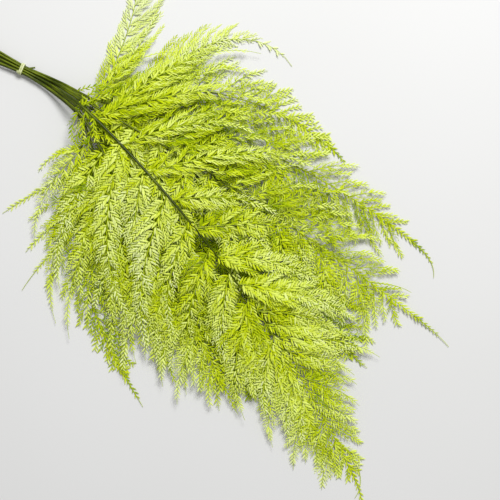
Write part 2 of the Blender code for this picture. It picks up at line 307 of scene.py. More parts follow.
# %% Sockets that add up
class Socket:
    """An output of a node tree that can be used in Python sums."""

    def __init__(self, nodes, socket):
        self.nodes = nodes
        self.socket = socket

    def operate(self, operation, other):
        terms = [self, other]
        vectors = sum(is_vector(term) for term in terms)
        if vectors == 1 and operation == "MULTIPLY":
            operation = "SCALE"
            terms.sort(key=is_vector, reverse=True)
        kind = "ShaderNodeVectorMath" if vectors else "ShaderNodeMath"
        return self.nodes.add(kind, dict(enumerate(terms)), operation=operation)

    def __add__(self, other):
        return self.operate("ADD", other)

    def __sub__(self, other):
        return self.operate("SUBTRACT", other)

    def __rsub__(self, other):
        return self.nodes.add("ShaderNodeMath", {0: other, 1: self}, operation="SUBTRACT")

    def __mul__(self, other):
        return self.operate("MULTIPLY", other)

    def __truediv__(self, other):
        return self.operate("DIVIDE", other)

    def __mod__(self, other):
        return self.operate("MODULO", other)

    def __gt__(self, other):
        return self.operate("GREATER_THAN", other)

    def __lt__(self, other):
        return self.operate("LESS_THAN", other)

    __radd__ = __add__
    __rmul__ = __mul__


def is_vector(term):
    return isinstance(term, Socket) and term.socket.type == "VECTOR"


# %% Trees that take one node at a time
class Nodes:
    """A node tree that is written one node at a time."""

    def __init__(self, tree):
        self.tree = tree

    def add(self, kind, sockets=None, **settings):
        """A new node. Gives its output, or all of them by name if it has several."""
        node = self.tree.nodes.new(kind)
        for name, value in settings.items():
            if name == "stops":
                self.set_stops(node.color_ramp, value)
            else:
                setattr(node, name, value)
        live = [socket for socket in node.inputs if socket.enabled]
        named = {socket.name: socket for socket in reversed(live)}
        for key, value in (sockets or {}).items():
            socket = live[key] if isinstance(key, int) else named[key]
            if isinstance(value, list):
                for part in value:
                    self.tree.links.new(part.socket, socket)
            elif isinstance(value, Socket):
                self.tree.links.new(value.socket, socket)
            else:
                socket.default_value = value
        made = {socket.name: Socket(self, socket) for socket in node.outputs if socket.enabled}
        return list(made.values())[0] if len(made) == 1 else made

    def set_stops(self, ramp, stops):
        while len(ramp.elements) < len(stops):
            ramp.elements.new(0.5)
        for element, (position, colour) in zip(ramp.elements, stops):
            element.position = position
            element.color = (*colour, 1)


trial = bpy.data.node_groups.new("trial", "ShaderNodeTree")
trial_sum = 1 - Nodes(trial).add("ShaderNodeValue") * 2
print("1 - value * 2 ends in a node of", trial_sum.socket.node.operation)
bpy.data.node_groups.remove(trial)

# %% [markdown]
# ## One leaf segment
#
# The smallest part of the frond is a narrow, pointed segment, mostly 4 to 6 mm long. There are
# tens of thousands, so it has only ten triangles: a flat diamond with a raised ridge. Its mesh
# carries two attributes, across and blade, which say where on the segment a point is.

# %% Make the segment
SEGMENT_POINTS = (
    (0.0, 0.0, 0.0), (0.25, 0.45, 0.0), (0.62, 0.42, 0.0), (1.0, 0.0, 0.0),
    (0.62, -0.42, 0.0), (0.25, -0.45, 0.0), (0.45, 0.0, 0.45))
SEGMENT_RIM = 6
SEGMENT_FACES = [((step + 1) % SEGMENT_RIM, step, SEGMENT_RIM) for step in range(SEGMENT_RIM)]
SEGMENT_FACES += [(0, step, step + 1) for step in range(1, SEGMENT_RIM - 1)]


def add_object(name, data):
    obj = bpy.data.objects.new(name, data)
    bpy.context.scene.collection.objects.link(obj)
    return obj


def set_attribute(mesh, name, values):
    mesh.attributes.new(name, "FLOAT", "POINT").data.foreach_set("value", values)


def make_segment():
    mesh = bpy.data.meshes.new("leaf_segment")
    mesh.from_pydata(SEGMENT_POINTS, [], SEGMENT_FACES)
    set_attribute(mesh, "across", [2 * point[1] for point in SEGMENT_POINTS])
    set_attribute(mesh, "blade", [point[0] for point in SEGMENT_POINTS])
    return add_object("leaf_segment", mesh)


segment = make_segment()
print("segment faces:", len(segment.data.polygons))

# %% [markdown]
# ## The leaf and stalk finish
#
# The foliage is a bright yellow-green, and its tone carries painted light and shade: paler on the
# higher fronds and at the pinna tips, deeper under other fronds, by the rachis and on pinnae turned
# on edge. The stems are a dark olive with light streaks, partly fibres and partly painted highlights.
# Noise and ramps keep that sharp at any size. Leaves are thin, so some light passes through them.
# Two Translucent shaders give it, a deep and a pale one, each with one colour, because a mix of them
# is simple to bake. The finish reads one UV map: u tells stalk from leaf and deep from pale, and v
# runs from root to tip, so one small map colours every segment.

# %% Make the fern material
UV_NAME = "OFBake"
CUT_U = 0.03
CUT_LIMIT = 0.05
STALK_U = (0.06, 0.2)
STALK_LIMIT = 0.23
LEAF_U = (0.27, 0.97)
THICK_MARK = 0.25
LEAF_STOPS = (
    (0.0, (0.26, 0.42, 0.0)), (0.38, (0.73, 0.84, 0.004)),
    (0.72, (0.88, 0.95, 0.24)), (1.0, (0.91, 0.95, 0.52)))
STEM_STOPS = ((0.0, (0.038, 0.058, 0.001)), (1.0, (0.46, 0.58, 0.01)))
CUT_CREAM = (0.62, 0.64, 0.36, 1)
STREAK_STRETCH = (1.0, 0.2, 0.0)
STREAK_SCALE = 110.0
LEAF_FIBRES = 0.35
# How strongly the noise streaks the stems: partly fibres, partly painted highlights.
STEM_FIBRES_AND_HIGHLIGHTS = 1.6
TIP_PALENESS = 0.14
LEAF_ROUGHNESS = 0.48
LIGHT_THROUGH = 0.3
DEEP_THROUGH = (0.07, 0.18, 0.0, 1)
PALE_THROUGH = (0.75, 0.9, 0.08, 1)
PALE_RISE = 1.65
STALK_COAT = 0.12


def new_material(name):
    material = bpy.data.materials.new(name)
    material.use_nodes = True
    material.node_tree.nodes.clear()
    return material, Nodes(material.node_tree)


def share_of(value, span):
    return (value - span[0]) / (span[1] - span[0])


def ramp(nodes, stops, factor):
    return nodes.add("ShaderNodeValToRGB", {"Fac": factor}, stops=stops)["Color"]


def make_fern_material():
    material, nodes = new_material("fern_leaf_and_stalk")
    uv = nodes.add("ShaderNodeUVMap", uv_map=UV_NAME)
    place = nodes.add("ShaderNodeSeparateXYZ", {"Vector": uv})
    u = place["X"]
    stalk = u < STALK_LIMIT
    streaks = nodes.add("ShaderNodeVectorMath", {0: uv, 1: STREAK_STRETCH}, operation="MULTIPLY")
    fibres_and_highlights = nodes.add("ShaderNodeTexNoise", {
        "Vector": streaks, "Scale": STREAK_SCALE, "Detail": 3.0, "Roughness": 0.6})["Fac"]
    tone = share_of(u, LEAF_U) + (fibres_and_highlights - 0.5) * LEAF_FIBRES + (place["Y"] - 0.45) * TIP_PALENESS
    # Painted highlights as well as fibres: the stretched noise lightens the stems in streaks along
    # their length.
    thin = share_of(u, STALK_U) - THICK_MARK + (fibres_and_highlights - 0.42) * STEM_FIBRES_AND_HIGHLIGHTS
    leaf = ramp(nodes, LEAF_STOPS, tone)
    stem = ramp(nodes, STEM_STOPS, thin)
    plant = nodes.add("ShaderNodeMix", {"Factor": stalk, "A": leaf, "B": stem}, data_type="RGBA")
    parts = {"Factor": u < CUT_LIMIT, "A": plant, "B": CUT_CREAM}
    colour = nodes.add("ShaderNodeMix", parts, data_type="RGBA")
    solid = nodes.add("ShaderNodeBsdfPrincipled", {
        "Base Color": colour, "Roughness": LEAF_ROUGHNESS - 0.1 * stalk + (fibres_and_highlights - 0.5) * 0.2,
        "Specular IOR Level": 0.1, "Coat Weight": stalk * STALK_COAT, "Coat Roughness": 0.25})
    deep = nodes.add("ShaderNodeBsdfTranslucent", {"Color": DEEP_THROUGH})
    pale = nodes.add("ShaderNodeBsdfTranslucent", {"Color": PALE_THROUGH})
    through = nodes.add("ShaderNodeMixShader", {0: tone * PALE_RISE, 1: deep, 2: pale})
    surface = nodes.add("ShaderNodeMixShader", {
        0: LIGHT_THROUGH - LIGHT_THROUGH * stalk, 1: solid, 2: through})
    nodes.add("ShaderNodeOutputMaterial", {"Surface": surface})
    return material


fern_material = make_fern_material()
print("fern material nodes:", len(fern_material.node_tree.nodes))

# %% [markdown]
# ## From skeleton to foliage
#
# A pinna is a stalk with pinnules on alternate sides, and a pinnule is a stalk with segments on
# alternate sides. Both repeat along a path, which Geometry Nodes do best. The tree takes the
# skeleton of a frond as a mesh of edges, whose points give the stalk's girth, the reach and pace
# of its pinnules, and how far the pinna is rolled, lopsided or on edge, and its tone.

# %% Start a node tree with named inputs
FROND_INPUTS = {
    "Spot Spacing": 2.0 * MM,
    "Pinnule Angle": math.radians(46),
    "Segment Spacing": 1.5 * MM,
    "Segment Angle": math.radians(30),
    "Segment Length": 7.4 * MM,
    "Segment Slimness": 0.25,
    "Shortest Pinnule": 6.0 * MM,
    "Seed": 0,
}


def start_tree(name, inputs):
    """A geometry node tree with its inputs and their usual values."""
    tree = bpy.data.node_groups.new(name, "GeometryNodeTree")
    for way in ("OUTPUT", "INPUT"):
        tree.interface.new_socket(name="Geometry", in_out=way, socket_type="NodeSocketGeometry")
    for label, value in inputs.items():
        kind = "NodeSocketInt" if isinstance(value, int) else "NodeSocketFloat"
        socket = tree.interface.new_socket(name=label, in_out="INPUT", socket_type=kind)
        socket.default_value = value
    nodes = Nodes(tree)
    return nodes, nodes.add("NodeGroupInput")


nodes, given = start_tree("frond_from_skeleton", FROND_INPUTS)
print("inputs of the frond tree:", len(given) - 1)

# %% Attributes, chances and directions
def named(name, kind="FLOAT"):
    return nodes.add("GeometryNodeInputNamedAttribute", {"Name": name}, data_type=kind)["Attribute"]


def store(geometry, name, value, kind="FLOAT", domain="POINT"):
    sockets = {"Geometry": geometry, "Name": name, "Value": value}
    return nodes.add("GeometryNodeStoreNamedAttribute", sockets, data_type=kind, domain=domain)


def chance(low, high, step):
    """A random number for each point. Every step is a draw of its own."""
    seed = given["Seed"] + step if step else given["Seed"]
    sockets = {"Min": low, "Max": high, "Seed": seed}
    return nodes.add("FunctionNodeRandomValue", sockets, data_type="FLOAT")


def vector_of(x, y, z):
    return nodes.add("ShaderNodeCombineXYZ", {"X": x, "Y": y, "Z": z})


def cross(first, second):
    crossed = nodes.add("ShaderNodeVectorMath", {0: first, 1: second}, operation="CROSS_PRODUCT")
    return nodes.add("ShaderNodeVectorMath", {0: crossed}, operation="NORMALIZE")


def tangent_of(angle):
    return nodes.add("ShaderNodeMath", {0: angle}, operation="TANGENT")


def facing(direction, up):
    """Turn an instance's X along a direction and its Z up."""
    axes = {"Primary Axis": direction, "Secondary Axis": up}
    return nodes.add("FunctionNodeAxesToRotation", axes, primary_axis="X", secondary_axis="Z")


def points_along(curves, spacing):
    sockets = {"Curve": curves, "Length": spacing}
    even = nodes.add("GeometryNodeResampleCurve", sockets, mode="LENGTH")
    return nodes.add("GeometryNodeCurveToPoints", {"Curve": even}, mode="EVALUATED")


def on_points(points, chosen, instance, turn, scale):
    placed = nodes.add("GeometryNodeInstanceOnPoints", {
        "Points": points, "Selection": chosen, "Instance": instance, "Rotation": turn, "Scale": scale})
    return nodes.add("GeometryNodeRealizeInstances", {"Geometry": placed})


print("nodes so far:", len(nodes.tree.nodes))

# %% [markdown]
# ## Stalks
#
# A stalk is a curve with a round profile swept along it, which keeps it closed and lets it taper.
# It gets its UV map where it is made, where a point's place along and around it is known. Thick
# stems are dark and thin ones light, so u comes from the girth.

# %% Tubes
STALK_SIDES = 6
GIRTH_STEP = 0.2 * MM
DARK_STEPS = 3.1
STEM_TONE = 0.4
ROUND_U = 0.02
V_SHARE = 0.96
V_MARGIN = 0.02


def tubes(curves, sides, radius, thickness_mark):
    ring = nodes.add("GeometryNodeCurvePrimitiveCircle", {"Resolution": sides, "Radius": 1.0})
    ring = store(ring, "around", nodes.add("GeometryNodeSplineParameter")["Factor"])
    curves = store(curves, "down", nodes.add("GeometryNodeSplineParameter")["Factor"])
    curves = store(curves, "mark", thickness_mark)
    mesh = nodes.add("GeometryNodeCurveToMesh", {
        "Curve": curves, "Profile Curve": ring, "Scale": radius, "Fill Caps": True})
    mesh = nodes.add("GeometryNodeSetShadeSmooth", {"Geometry": mesh, "Shade Smooth": True})
    u = blend(*STALK_U, named("mark")) + (named("around") - 0.5) * ROUND_U
    uv = vector_of(u, named("down") * V_SHARE + V_MARGIN, 0.0)
    return store(mesh, UV_NAME, uv, "FLOAT2", "CORNER")


girth = named("girth")
steps = {0: DARK_STEPS, 1: girth / GIRTH_STEP}
thin = nodes.add("ShaderNodeMath", steps, operation="SUBTRACT", use_clamp=True)
light = nodes.add("ShaderNodeClamp", {"Value": named("tone"), "Min": 0.0, "Max": STEM_TONE})
stalks = nodes.add("GeometryNodeMeshToCurve", {"Mesh": given["Geometry"]})
stems = tubes(stalks, STALK_SIDES, girth, blend(light * (THICK_MARK / STEM_TONE), 1.0, thin))
print("nodes with the stalks:", len(nodes.tree.nodes))

# %% [markdown]
# ## Spots along the stalks
#
# On a real pinna, pinnules stand by turns left and right, and give way to single segments near
# its tip. So each stalk gets evenly spaced spots. Every second one bears a pinnule, and where
# those would be too short, every one bears a segment. Small chances in angle, length and tone
# keep the rows from looking combed.

# %% Spots, and what each one bears
SHORTEST_SEGMENT = 1.2 * MM
EDGE_CLOSING = 0.25

spots = points_along(stalks, given["Spot Spacing"] * named("pace"))
ahead = spots["Tangent"]
level = cross((0.0, 0.0, 1.0), ahead)
above = cross(ahead, level)
sideways = level + above * named("roll")
up = above - level * named("roll")
reach = named("reach")
edge = named("edge")
divided = reach > given["Shortest Pinnule"]
place = nodes.add("GeometryNodeInputIndex")
odd = place % 2
side = divided * ((place - odd) / 2 % 2 - odd) * 2 + odd * 2 - 1
slant = tangent_of(given["Pinnule Angle"] * (1 - EDGE_CLOSING * edge))
slant = slant * (0.6 + 0.4 * divided) * chance(0.75, 1.25, 0)
outward = ahead + sideways * (side * slant) + up * chance(-0.24, 0.24, 1)
face = up + sideways * chance(-0.45, 0.45, 10)
turn = facing(outward, face)
length = reach * (1 - side * named("lopsided")) * chance(0.82, 1.14, 2)
spots = store(spots["Points"], "up", face, "FLOAT_VECTOR")
spots = store(spots, "bears", divided * (1 - odd))
spots = store(spots, "alone", (1 - divided) * (reach > SHORTEST_SEGMENT))
spots = store(spots, "reach", length)
spots = store(spots, "tone", named("tone") + chance(-0.12, 0.12, 3))
print("nodes with the spots:", len(nodes.tree.nodes))

# %% [markdown]
# ## Pinnules
#
# A pinnule's stalk is a thread that curls towards the tip of the pinna. One small arc is put on
# every spot that bears a pinnule, turned and scaled there, and mirrored on the other side.

# %% Arcs for the pinnules
ARC = {"Resolution": 5, "Start": (0.0, 0.0, 0.0),
       "Middle": (0.5, 0.03, 0.03), "End": (0.96, -0.27, -0.06)}
THREAD_SIDES = 3
THREAD_GIRTH = 0.2 * MM

arc = nodes.add("GeometryNodeCurveQuadraticBezier", ARC)
twigs = on_points(spots, named("bears") > 0.5, arc, turn, vector_of(reach, reach * side, reach))
twigs = store(twigs, "share", nodes.add("GeometryNodeSplineParameter")["Factor"])
share = named("share")
threads = tubes(twigs, THREAD_SIDES, (1.15 - share) * THREAD_GIRTH, 1.0)
print("nodes with the pinnules:", len(nodes.tree.nodes))

# %% [markdown]
# ## Segments
#
# The segments stand by turns on both sides of a pinnule, and the last points straight on. The one
# segment mesh is put on all their seats. Each has its own tone, which becomes its u and so its
# colour. Where a plume is turned on edge, its segments close up and look slimmer.

# %% Seats and segments
END_SHARE = 0.97
EDGE_SLIMMING = 0.35
THICKNESS = 0.6
ACROSS_U = 0.012


def segments(points, chosen, turn, size, width):
    leaf = nodes.add("GeometryNodeObjectInfo", {"Object": segment})["Geometry"]
    scale = vector_of(size, size * width, size * width * THICKNESS)
    mesh = on_points(points, chosen, leaf, turn, scale)
    u = blend(*LEAF_U, named("tone")) + named("across") * ACROSS_U
    uv = vector_of(u, named("blade") * V_SHARE + V_MARGIN, 0.0)
    return store(mesh, UV_NAME, uv, "FLOAT2", "CORNER")


seats = points_along(twigs, given["Segment Spacing"])
ahead = seats["Tangent"]
up = named("up", "FLOAT_VECTOR") + ahead * chance(-0.3, 0.3, 4)
across = cross(up, ahead)
by_turns = nodes.add("GeometryNodeInputIndex") % 2 * 2 - 1
slant = tangent_of(given["Segment Angle"] * (1 - 0.45 * edge)) * chance(0.8, 1.2, 5)
outward = ahead + across * (by_turns * slant * (share < END_SHARE)) + up * chance(-0.12, 0.2, 6)
sizes = {0: given["Segment Length"], 1: reach * 0.3 + 1.8 * MM}
size = nodes.add("ShaderNodeMath", sizes, operation="MINIMUM")
size = size * (1.04 - share * 0.52) * chance(0.84, 1.16, 7)
seats = store(seats["Points"], "tone", named("tone") + chance(-0.16, 0.16, 8))
tilted = up + across * chance(-0.5, 0.5, 9)
slimness = given["Segment Slimness"]
leaves = segments(seats, True, facing(outward, tilted), size, slimness * (1 - EDGE_SLIMMING * edge))
ends = segments(spots, named("alone") > 0.5, turn, reach * 0.95 + 0.6 * MM, slimness)
print("nodes with the segments:", len(nodes.tree.nodes))

# %% Join it all and give it the finish
foliage = nodes.add("GeometryNodeJoinGeometry", {"Geometry": [stems, threads, leaves, ends]})
foliage = nodes.add("GeometryNodeRealizeInstances", {"Geometry": foliage})
foliage = nodes.add("GeometryNodeSetMaterial", {"Geometry": foliage, "Material": fern_material})
nodes.add("NodeGroupOutput", {"Geometry": foliage})
frond_tree = nodes.tree
print("nodes in the whole frond tree:", len(frond_tree.nodes))

# %% [markdown]
# ## The stem of a frond
#
# A strand is one stalk with all that the node tree needs to know at each of its points. A stem is
# one with hardly any pinnules. It lies in its row at the tie, splays and sinks a little behind
# it, and climbs to its frond's layer past it. The top one is thicker and darker in full view.

# %% The stem as a strand
STEM_RADIUS = 0.8 * MM
TIP_RADIUS = 0.35 * MM
ROW_PITCH = 2.1 * MM
TIE_WALL = 0.65 * MM
TIE_GAP = 0.3 * MM
FIRST_ROW_HEIGHT = TIE_WALL + TIE_GAP + STEM_RADIUS
SPLAY_ANGLE = 3.0
CUT_DROP_LENGTH = 80 * MM
CLIMB_START = 5 * MM
CLIMB_END = 56 * MM
STEM_STEP = 4 * MM
HUB_SWELL = 0.1 * MM
TOP_SWELL = 0.3 * MM
TOP_SWELL_FALL = 130 * MM
TIP_REACH = 5.4 * MM

Strand = namedtuple("Strand", "points girth reach roll tone lopsided edge pace")


def stem_strand(frond, path, layer):
    end = path.s[-1]
    behind = np.linspace(-frond.cut * MM, 0, 12)[:-1]
    s = np.concatenate([behind, np.linspace(0, end, round(end / STEM_STEP) + 1)])
    plan = np.column_stack([np.interp(s, path.s, path.x), np.interp(s, path.s, path.y)])
    plan = plan + along(BUNDLE_HEADING - SPLAY_ANGLE * frond.slot, np.minimum(s, 0))
    drop = (TIE_WALL + TIE_GAP) * smooth(-s / CUT_DROP_LENGTH)
    row_height = FIRST_ROW_HEIGHT + frond.row * ROW_PITCH - drop
    climb = smooth((s - CLIMB_START) / (CLIMB_END - CLIMB_START))
    height = blend(row_height, layer_height(plan, layer), climb)
    start = frond.start * MM
    girth = blend(STEM_RADIUS, TIP_RADIUS, np.clip((s - start) / (end - start), 0, 1))
    girth = girth + HUB_SWELL * smooth((s - CLIMB_START) / CLIMB_END) * smooth(2 - s / start)
    still = np.zeros(len(s))
    tone = still + STEM_TONE
    if layer == TOP_LAYER:
        bold = smooth(s / start) * smooth(2.2 - s / TOP_SWELL_FALL)
        girth = girth + TOP_SWELL * bold
        tone = tone - STEM_TONE * bold
    reach = TIP_REACH * smooth((s - start) / (end - start) * 2.5 - 1.2)
    points = np.column_stack([plan, height])
    return Strand(points, girth, reach, still, tone, still, still, still + 1)


stem = stem_strand(FRONDS[TOP_LAYER], stem_paths[TOP_LAYER], TOP_LAYER)
print("top stem's highest point:", round(stem.points[:, 2].max() / MM, 1), "mm")

# %% [markdown]
# ## The shapes of the pinnae
#
# Most pinnae are alike: their pinnules are short next to the rachis, longest soon after it, and
# shorten to a slender tail. The plumes and thin threads at the rim are seen one by one, so each
# has a shape of its own in a table.

# %% Shapes
# turn, curl and stretch change the path, and width and tip_width the reach of the pinnules.
# lopsided makes one side longer, fullness says how late the pinna narrows (a low power is late),
# and bare is the bald share at its tip.
Shape = namedtuple("Shape", "turn curl stretch width tip_width lopsided fullness tone bare",
                   defaults=(0, 0, 1.0, 1.0, 1.0, 0.0, 0.85, 0.0, 0.12))
PLAIN_SHAPE = Shape()
FULL_SHAPE = Shape(width=1.2, tip_width=1.1, fullness=0.6, tone=-0.06)
TIP_SHAPE = Shape(width=0.6, tip_width=0.4, bare=0.3)
THIN_TIP_SHAPE = Shape(width=0.41, tip_width=0.36, fullness=0.5, tone=-0.15, bare=0.35)
FULL_FROM = 2.5
# Keys: layer, side and index of the pinna.
SHAPES = {
    (2, 1, 0): Shape(-3, -26, 1.0, 1.15, 1.7, lopsided=0.4, fullness=0.4, tone=-0.2),
    (2, 1, 1 / 3): Shape(-8, -12, 0.6, 0.9, 0.8, fullness=0.6, tone=0.1),
    (2, 1, 1): Shape(2, 22, 1.02, 1.1, 1.1, lopsided=-0.3),
    (1, -1, 0): Shape(6, 0, 0.85, 0.6, 0.6),
    (1, -1, 0.5): Shape(-5, -28, 1.27, 0.7, 0.4, tone=-0.2),
    (1, -1, 1): Shape(0, 0, 0.75, 0.9, 0.7),
    (1, -1, 2): Shape(12, 0, 0.92, 0.7, 0.4, bare=0.3),
    (7, -1, 0): Shape(0, 0, 0.92, 1.0, 0.7),
}
for quarter in range(8):
    SHAPES[9, 1, 5 + quarter / 4] = Shape(-4, 0, 0.74, 1.1, 1.0, fullness=0.6, tone=-0.06)
for quarter in range(5):
    SHAPES[8, 1, 5.75 + quarter / 4] = Shape(0, 0, 0.7, 1.0, 0.8)
SHAPES[9, 1, 6] = Shape(-25, 60, 1.5, 0.35, 0.1, tone=-0.1, bare=0.5)
SHAPES[8, 1, 5.5] = Shape(-14, 0, 1.15, 0.4, 0.1, tone=-0.1, bare=0.5)
print("pinnae with a shape of their own:", len(SHAPES))

# %% A pinna as a strand
LIFT_LENGTH = 12 * MM
WIDTH_SHARE = 0.38
LEAST_REACH = 4.6 * MM
MOST_REACH = 10 * MM
REACH_GROWTH = 0.125
ROOT_RISE = 10 * MM
LONGEST_BARE = 125 * MM
PINNA_GIRTH = (0.5 * MM, 0.16 * MM)
TIP_LIGHT = 0.25
ROOT_SHADE = 0.2
ROOT_SHADE_LENGTH = 45 * MM
COVER_SHADE = 0.1
MOST_COVERS = 5
EDGE_SHADE = 0.2


def curled(path, side, curl):
    share = path.s / path.s[-1]
    heading = path.heading - side * curl * share ** 2
    middle = (heading[:-1] + heading[1:]) / 2
    points = walk((path.x[0], path.y[0]), middle, path.s[-1] / PINNA_STEPS)
    return Path(path.s, points[:, 0], points[:, 1], heading)


def pinna_strand(path, layer, lift, roll, tone, edge=0.0, shape=PLAIN_SHAPE, pace=1.0):
    plan = np.column_stack([path.x, path.y])
    length = path.s[-1]
    share = path.s / length
    rise = lift * pitch(plan) * smooth(path.s / LIFT_LENGTH)
    longest = np.clip(WIDTH_SHARE * length, LEAST_REACH, MOST_REACH + REACH_GROWTH * length)
    longest = longest * blend(shape.width, shape.tip_width, share)
    bare = shape.bare * min(length, LONGEST_BARE)
    tail = np.clip((0.97 * length - bare - path.s) / (0.8 * length), 0, 1)
    reach = longest * blend(0.6, 1.0, smooth(path.s / ROOT_RISE)) * tail ** shape.fullness
    least = LEAST_REACH * min(1.0, shape.width + 0.2)
    reach = np.maximum(reach, np.where(path.s < length - bare, least, 0.0))
    # Painted light and shade: a pinna is coloured deeper near its root by the rachis, where the
    # foliage is thickest, and paler towards its tip.
    shade = tone + TIP_LIGHT * share ** 2 - ROOT_SHADE * (1 - smooth(path.s / ROOT_SHADE_LENGTH))
    # Painted shade: a pinna is coloured darker for each frond that lies over it, up to MOST_COVERS of
    # them.
    shade = shade - COVER_SHADE * np.minimum(covers_above(plan, layer), MOST_COVERS)
    whole = np.ones(len(share))
    points = np.column_stack([plan, layer_height(plan, layer) + rise])
    # Painted shade: pinnae turned on edge are coloured a deeper green.
    return Strand(points, blend(*PINNA_GIRTH, share), reach, roll * whole, shade - EDGE_SHADE * edge,
                  shape.lopsided * whole, edge * whole, pace * whole)


tip = pinna_strand(terminal_pinna(stem_paths[TOP_LAYER]), TOP_LAYER, 0.0, 0.0, 0.5, shape=TIP_SHAPE)
print("longest pinnule at the top frond's tip:", (tip.reach.max() / MM).round(1), "mm")

# %% [markdown]
# ## The small things near the tie
#
# Just past the tie a short cut side stem stands out, and a few leafy shoots sit on the bare
# stems before the first pinnae. They are strands too, so the same tree dresses them.

# %% The cut side stem and the shoots
STUB_LAYER = 6
STUB_AT = 5 * MM
STUB_LENGTH = 5 * MM
STUB_RADIUS = 0.7 * MM
STUB_ANGLE = 32
SHOOTS = {3: 6, 6: 4, 7: 6, 8: 4, 9: 4}
SHOOT_START = 1.5
SHOOT_PITCH = 4.5
SHOOT_CURL = 36


def stub_strand(frond, path):
    root, heading = on_path(path, STUB_AT)
    share = np.linspace(0, 1, 3)
    plan = root + share[:, None] * along(heading + STUB_ANGLE, STUB_LENGTH)
    height = FIRST_ROW_HEIGHT + frond.row * ROW_PITCH + 0 * share
    still = np.zeros(len(share))
    plain = [still, still, still + STEM_TONE, still, still, still + 1]
    return Strand(np.column_stack([plan, height]), still + STUB_RADIUS, *plain)


def shoots(frond, path, layer, chooser):
    for step in range(SHOOTS[layer]):
        side = 1 if step % 2 else -1
        root, heading = on_path(path, (frond.start - SHOOT_START - SHOOT_PITCH * step) * MM)
        length = chooser.uniform(18, 28) * MM
        shoot = pinna_path(root, heading, side, chooser.uniform(44, 70), SHOOT_CURL, length)
        yield pinna_strand(shoot, layer, chooser.uniform(-0.2, 0.6), 0.0, 0.05 * layer)


print("small shoots:", sum(SHOOTS.values()))

# %% [markdown]
# ## All strands of a frond
#
# The pinnae of one frond differ a little in angle, length, roll and tone, by a generator with a
# fixed seed, so the same bunch grows each time. Near the base they stand at halves or thirds of
# the solid's steps, and farther out at quarters. Some sides at the rim are turned on edge.

# %% The choices for each frond
# By layer, and side where given: how far the pinnae stand on edge, how much paler they are, and
# the curl and length of the frond's tip.
EDGE_SHARES = {(2, 1): 0.5, (2, -1): 0.9, (6, 1): 1.0, (6, -1): 0.9, (4, 1): 0.8, (8, 1): 0.9}
TONES = {1: 0.2, 2: 0.6, 5: 0.16, 6: 0.14, 7: 0.1, 8: 0.04}
TIPS = {4: (-20, 18 * MM), 6: (60, 38 * MM), 8: (12, 38 * MM), 9: (50, 38 * MM), 2: (30, 20 * MM)}
BASE_TONE = 0.54
LAYER_TONE = 0.015
TIP_TONE = 0.5
GAPS = {(2, 1): (0.5, 1)}
THIN_TIPS = (6, 8)
THIN_END = 6
NEAR = 3
OWN_STRETCH = 1.12
BETWEEN_STRETCH = 0.85
TOP_EDGE_TO = 2
TOP_EDGE = 0.8
TOP_SHADED = (2, 5)
TOP_SHADE = 0.08
OUTER_PACE = 0.85
TOP_OUTER_PACE = 0.68


def pinna_indices(layer, side):
    """Whole numbers are the solid's own pinnae, and the others lie between them."""
    step = 3 if (layer, side) in EDGE_SHARES else 2
    return np.concatenate([np.arange(NEAR * step) / step, NEAR + np.arange(4 * (PINNAE - NEAR)) / 4])


def shape_of(layer, side, index):
    full = layer == TOP_LAYER and index >= FULL_FROM
    return SHAPES.get((layer, side, index), FULL_SHAPE if full else PLAIN_SHAPE)


def left_out(layer, side, index):
    """In a gap between plumes, or where a thin tip starts."""
    low, high = GAPS.get((layer, side), (0, 0))
    return low < index < high or (layer in THIN_TIPS and index > THIN_END)


def pace_of(layer, index):
    """How close the pinnules stand, as a share of the tree's spacing."""
    if index < FULL_FROM:
        return 1.0
    return TOP_OUTER_PACE if layer == TOP_LAYER else OUTER_PACE


print("pinnae on a side:", len(pinna_indices(0, 1)), "or", len(pinna_indices(8, 1)))

# %% Strands of one side, and of the whole frond
def side_strands(frond, path, layer, side, chooser):
    indices = pinna_indices(layer, side)
    count = len(indices)
    turns = chooser.uniform(-8, 8, count)
    stretches = np.where(indices % 1 < 0.01, OWN_STRETCH, BETWEEN_STRETCH)
    stretches = stretches * chooser.uniform(0.92, 1.08, count)
    shapes = [shape_of(layer, side, index) for index in indices]
    for place, index in enumerate(indices):
        if (layer, side, index) in SHAPES:
            turns[place] = shapes[place].turn
            stretches[place] = shapes[place].stretch
    pinnae = side_pinnae(frond, path, side, indices, turns, stretches)
    for index, shape, pinna in zip(indices, shapes, pinnae):
        lift = chooser.uniform(-0.3, 0.5)
        edge = EDGE_SHARES.get((layer, side), 0.0) * chooser.uniform(0.4, 1.0)
        # Painted light and shade: each higher layer is coloured a little paler, so the lower fronds
        # look shaded.
        tone = BASE_TONE + LAYER_TONE * layer + TONES.get(layer, 0.0)
        if layer == TOP_LAYER and side > 0:
            edge = TOP_EDGE if index < TOP_EDGE_TO else edge
            # Painted shade: pinnae 2 to 5 on the top frond's right side are coloured darker.
            tone -= TOP_SHADE if TOP_SHADED[0] <= index <= TOP_SHADED[1] else 0.0
        roll = chooser.uniform(-0.35, 0.35) - side * 0.6 * edge
        tone += chooser.uniform(-0.16, 0.16) + shape.tone
        if not left_out(layer, side, index):
            pinna = curled(pinna, side, shape.curl)
            yield pinna_strand(pinna, layer, lift, roll, tone, edge, shape, pace_of(layer, index))


def frond_strands(layer):
    frond = FRONDS[layer]
    path = stem_paths[layer]
    chooser = np.random.default_rng(100 + layer)
    strands = [stem_strand(frond, path, layer)]
    for side in (1, -1):
        strands.extend(side_strands(frond, path, layer, side, chooser))
    end = terminal_pinna(path, *TIPS.get(layer, (0.0, TERMINAL_LENGTH)))
    shape = THIN_TIP_SHAPE if layer in THIN_TIPS else TIP_SHAPE
    strands.append(pinna_strand(end, layer, 0.0, 0.0, TIP_TONE + shape.tone, shape=shape))
    if layer == STUB_LAYER:
        strands.append(stub_strand(frond, path))
    if layer in SHOOTS:
        strands.extend(shoots(frond, path, layer, chooser))
    return strands


